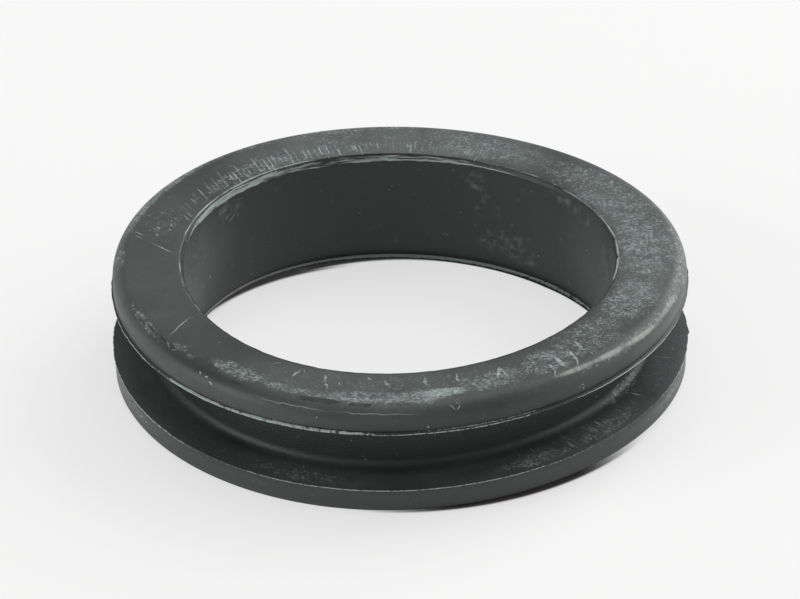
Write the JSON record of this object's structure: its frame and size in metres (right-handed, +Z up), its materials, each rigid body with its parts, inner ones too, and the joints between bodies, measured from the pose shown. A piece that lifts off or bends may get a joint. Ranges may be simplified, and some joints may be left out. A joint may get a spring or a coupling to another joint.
{
  "type": "rubber grommet",
  "caption": "Moulded black rubber ring with a lip on each side of a panel groove and a plain bore, which lines a hole and guards what passes through it.",
  "frame": {"origin": "on the axis of the bore, in the plane of the foot that the ring rests on", "axes": "+Z up along the bore; the ring is round, so X and Y are free"},
  "size_m": [0.06, 0.06, 0.0124],
  "materials": {
    "moulded_rubber": "matt moulded black rubber, greyed by talc bloom, with pale mould flash on its edges"
  },
  "bodies": {
    "root": {"grommet": "moulded_rubber"}
  },
  "joints": []
}
